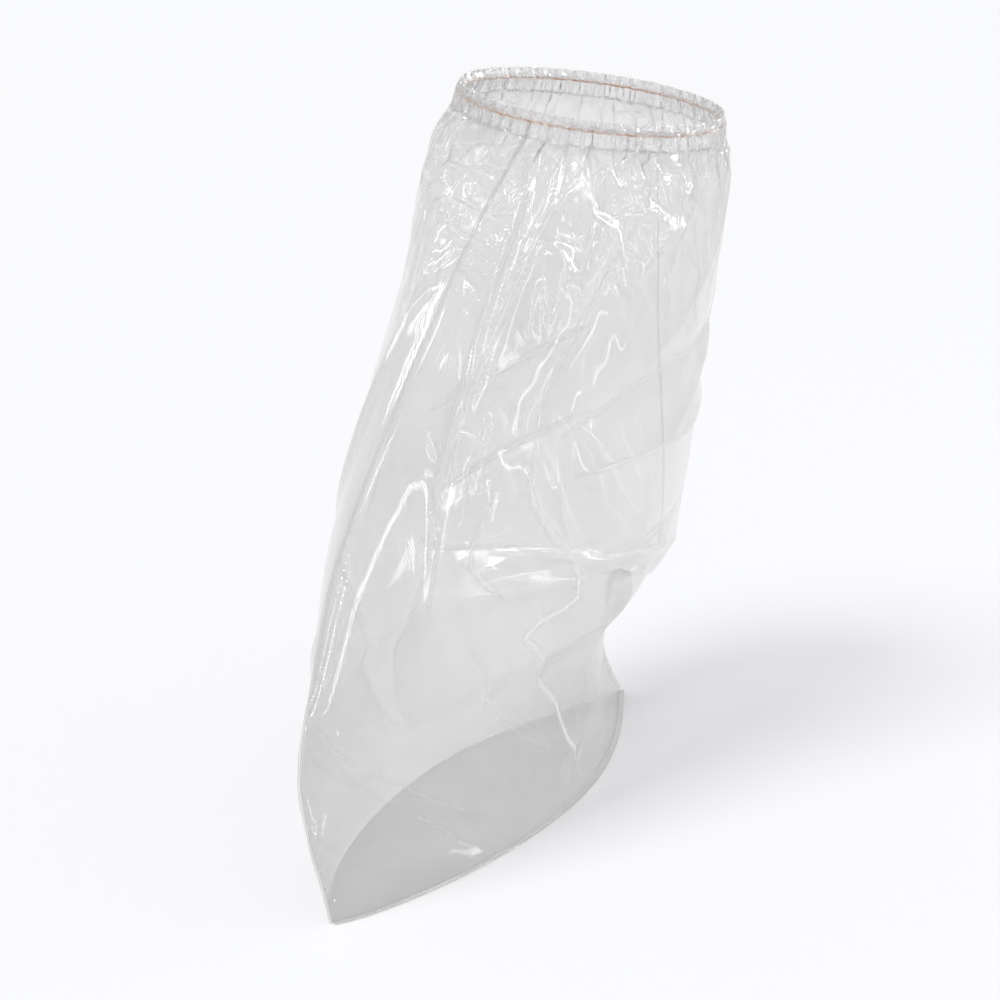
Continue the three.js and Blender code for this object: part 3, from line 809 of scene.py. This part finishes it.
def hem_wall():
    """The hem's outer wall, gathered by the relaxation, about the ring's centre in millimetres."""
    rng = np.random.default_rng(31)
    at = np.linspace(0, len(HEM_WALL) - 1, HEM_ROWS)
    out, up, gap = (np.interp(at, np.arange(len(HEM_WALL)), HEM_WALL[:, k]) for k in range(3))
    angle = np.linspace(0, 2 * np.pi, HEM_STEPS + 1) + np.pi / 2
    outward = np.stack([np.cos(angle), np.sin(angle), 0 * angle], -1)
    smooth = outward[None] * (RING["radius"] + out)[:, None, None]
    smooth[..., 2] = up[:, None]
    size = smooth.shape[:2]
    surplus = np.zeros(size + (3,))
    surplus[..., 0] = HEM_SURPLUS
    lift = np.clip(up / up[-1], 0, 1)[:, None]
    waves = smooth_noise(size, WAVE_CELLS_ROUND, rng) * (WAVES_BELOW + lift)
    waves += FINE_WAVES * smooth_noise(size, FINE_CELLS_ROUND, rng)
    gathers = gather_wave(angle) * np.linspace(*HEM_GATHERS, HEM_ROWS)[:, None]
    points = smooth + outward * (gathers + HEM_WAVES * waves)[..., None]
    points[..., 2] += TOP_WAVES * lift * smooth_noise(size, TOP_CELLS_ROUND, rng)
    points[0] = smooth[0] + outward * gathers[0][:, None]
    pinned = np.zeros(size, bool)
    pinned[0] = pinned[:, 0] = pinned[:, -1] = True
    points[:, -1] = points[:, 0]
    pinned[HELD_ROW] = True
    points[HELD_ROW] = smooth[HELD_ROW] + outward * gathers[HELD_ROW][:, None]
    points = relax(points, smooth, rest_lengths(smooth, surplus), pinned, **HEM_RELAX)
    return points, outward, gap


def hem_piece():
    wall, outward, gap = hem_wall()
    inner = wall - outward * (gap[:, None, None] + FILM_GAP)
    points = np.concatenate([wall, inner[::-1]])[:, :-1]
    points = from_ring(points)
    ring = np.pad(points, ((0, 0), (1, 1), (0, 0)), mode="wrap")
    turned = np.linalg.norm(difference(ring), axis=-1)
    # Sharply turned hem film is whitened: stress whitening, and a painted highlight on its crumples.
    creased = np.clip(turned[:, 1:-1] / HEM_CREASED, 0, 1)
    piece = grid_piece("hem_film", points, flat_pattern(points, closed=True), HEM_FILM,
                       closed=True, crease=creased)
    return finish_piece(piece, "top_hem")


def elastic_piece():
    angle = 2 * np.pi * np.arange(ELASTIC_STEPS) / ELASTIC_STEPS
    turn = 2 * np.pi * np.arange(ELASTIC_SIDES) / ELASTIC_SIDES
    radius = RING["radius"] + ELASTIC_GATHER * gather_wave(angle)
    bulge = np.sin(STRANDS * angle[None] + STRAND_TURNS * turn[:, None])
    thick = ELASTIC_RADIUS + STRAND_BULGE * bulge
    across = radius[None] + thick * np.cos(turn)[:, None]
    height = ELASTIC_WAVE * gather_wave(angle + 1) + thick * np.sin(turn)[:, None]
    points = np.stack([across * np.cos(angle), across * np.sin(angle), height], -1)
    points = from_ring(np.concatenate([points, points[:1]]))
    piece = grid_piece("elastic", points, flat_pattern(points, closed=True), RUBBER, closed=True)
    return finish_piece(piece, "elastic_thread")


hem_film = hem_piece()
elastic_piece()


# ---------------------------------------------------------------- camera, floor and light

# The camera looks at TARGET from this far round to the wearer's left and this far above level
TARGET = Vector((0.0058, -0.1318, -0.2202))
AZIMUTH, ELEVATION, DISTANCE = math.radians(28), math.radians(18), 1.9
LENS, SENSOR, FAR_CLIP = 112.1, 36.0, 1000
FLOOR_HALF, FLOOR_GAP = 200.0, 0.0004  # half of the floor's side, and how far the film is above it


def make_camera():
    data = bpy.data.cameras.new("camera")
    data.lens, data.sensor_width, data.clip_end = LENS, SENSOR, FAR_CLIP
    camera = bpy.data.objects.new("camera", data)
    bpy.context.scene.collection.objects.link(camera)
    level = math.cos(ELEVATION)
    back = Vector((math.sin(AZIMUTH) * level, -math.cos(AZIMUTH) * level, math.sin(ELEVATION)))
    camera.location = TARGET + back * DISTANCE
    camera.rotation_euler = (-back).to_track_quat("-Z", "Y").to_euler()
    bpy.context.scene.camera = camera


def make_floor():
    half, z = FLOOR_HALF, CAD_BOX[0].z - FLOOR_GAP
    corners = [(-half, -half, z), (half, -half, z), (half, half, z), (-half, half, z)]
    mesh = bpy.data.meshes.new("floor")
    mesh.from_pydata(corners, [], [(0, 1, 2, 3)])
    n = Nodes("floor")
    skin = n.add("BsdfPrincipled", {"Base Color": (0.83, 0.83, 0.84, 1), "Roughness": 0.9})
    n.add("OutputMaterial", {"Surface": skin.outputs[0]})
    mesh.materials.append(n.material)
    floor = bpy.data.objects.new("floor", mesh)
    bpy.context.scene.collection.objects.link(floor)


# Lamps that the film mirrors: name, place, width, height, brightness
GLINTS = [
    ("far_right", (1.2, 1.0, 0.8), 0.18, 0.7, 50),
    ("right", (1.55, 0.3, 0.25), 0.05, 0.8, 14),
    ("low_right", (1.3, -0.95, 0.1), 0.06, 0.7, 20),
    ("above", (0.9, -0.6, 2.0), 0.28, 0.28, 16),
    ("top", (0.2, -0.2, 2.4), 0.2, 0.2, 24),
    ("high_left", (-1.5, -0.3, 1.6), 0.2, 0.6, 18),
]
SUN_FROM, SUN_STRENGTH, SUN_WIDTH = (-0.3, -0.5, 1.0), 1.6, 24  # its width is in degrees
WORLD_COLOUR, WORLD_STRENGTH = (0.97, 0.98, 0.99, 1), 0.74


def aimed(name, kind, place):
    data = bpy.data.lights.new(name, kind)
    lamp = bpy.data.objects.new(name, data)
    lamp.location = place
    lamp.rotation_euler = (TARGET - Vector(place)).to_track_quat("-Z", "Y").to_euler()
    bpy.context.scene.collection.objects.link(lamp)
    return lamp


def make_lights():
    for name, place, width, height, brightness in GLINTS:
        lamp = aimed(name, "AREA", place)
        lamp.visible_diffuse = False
        lamp.data.shape, lamp.data.size, lamp.data.size_y = "RECTANGLE", width, height
        lamp.data.energy = math.pi * width * height * brightness
    sun = aimed("sun", "SUN", TARGET + Vector(SUN_FROM) * 3)
    sun.data.energy, sun.data.angle = SUN_STRENGTH, math.radians(SUN_WIDTH)
    sun.visible_glossy = False
    world = bpy.data.worlds.new("studio")
    world.use_nodes = True
    backdrop = world.node_tree.nodes["Background"]
    backdrop.inputs["Color"].default_value = WORLD_COLOUR
    backdrop.inputs["Strength"].default_value = WORLD_STRENGTH
    bpy.context.scene.world = world


make_camera()
make_floor()
make_lights()
bpy.context.scene.view_settings.view_transform = "Standard"
bpy.context.scene.cycles.transparent_max_bounces = 16
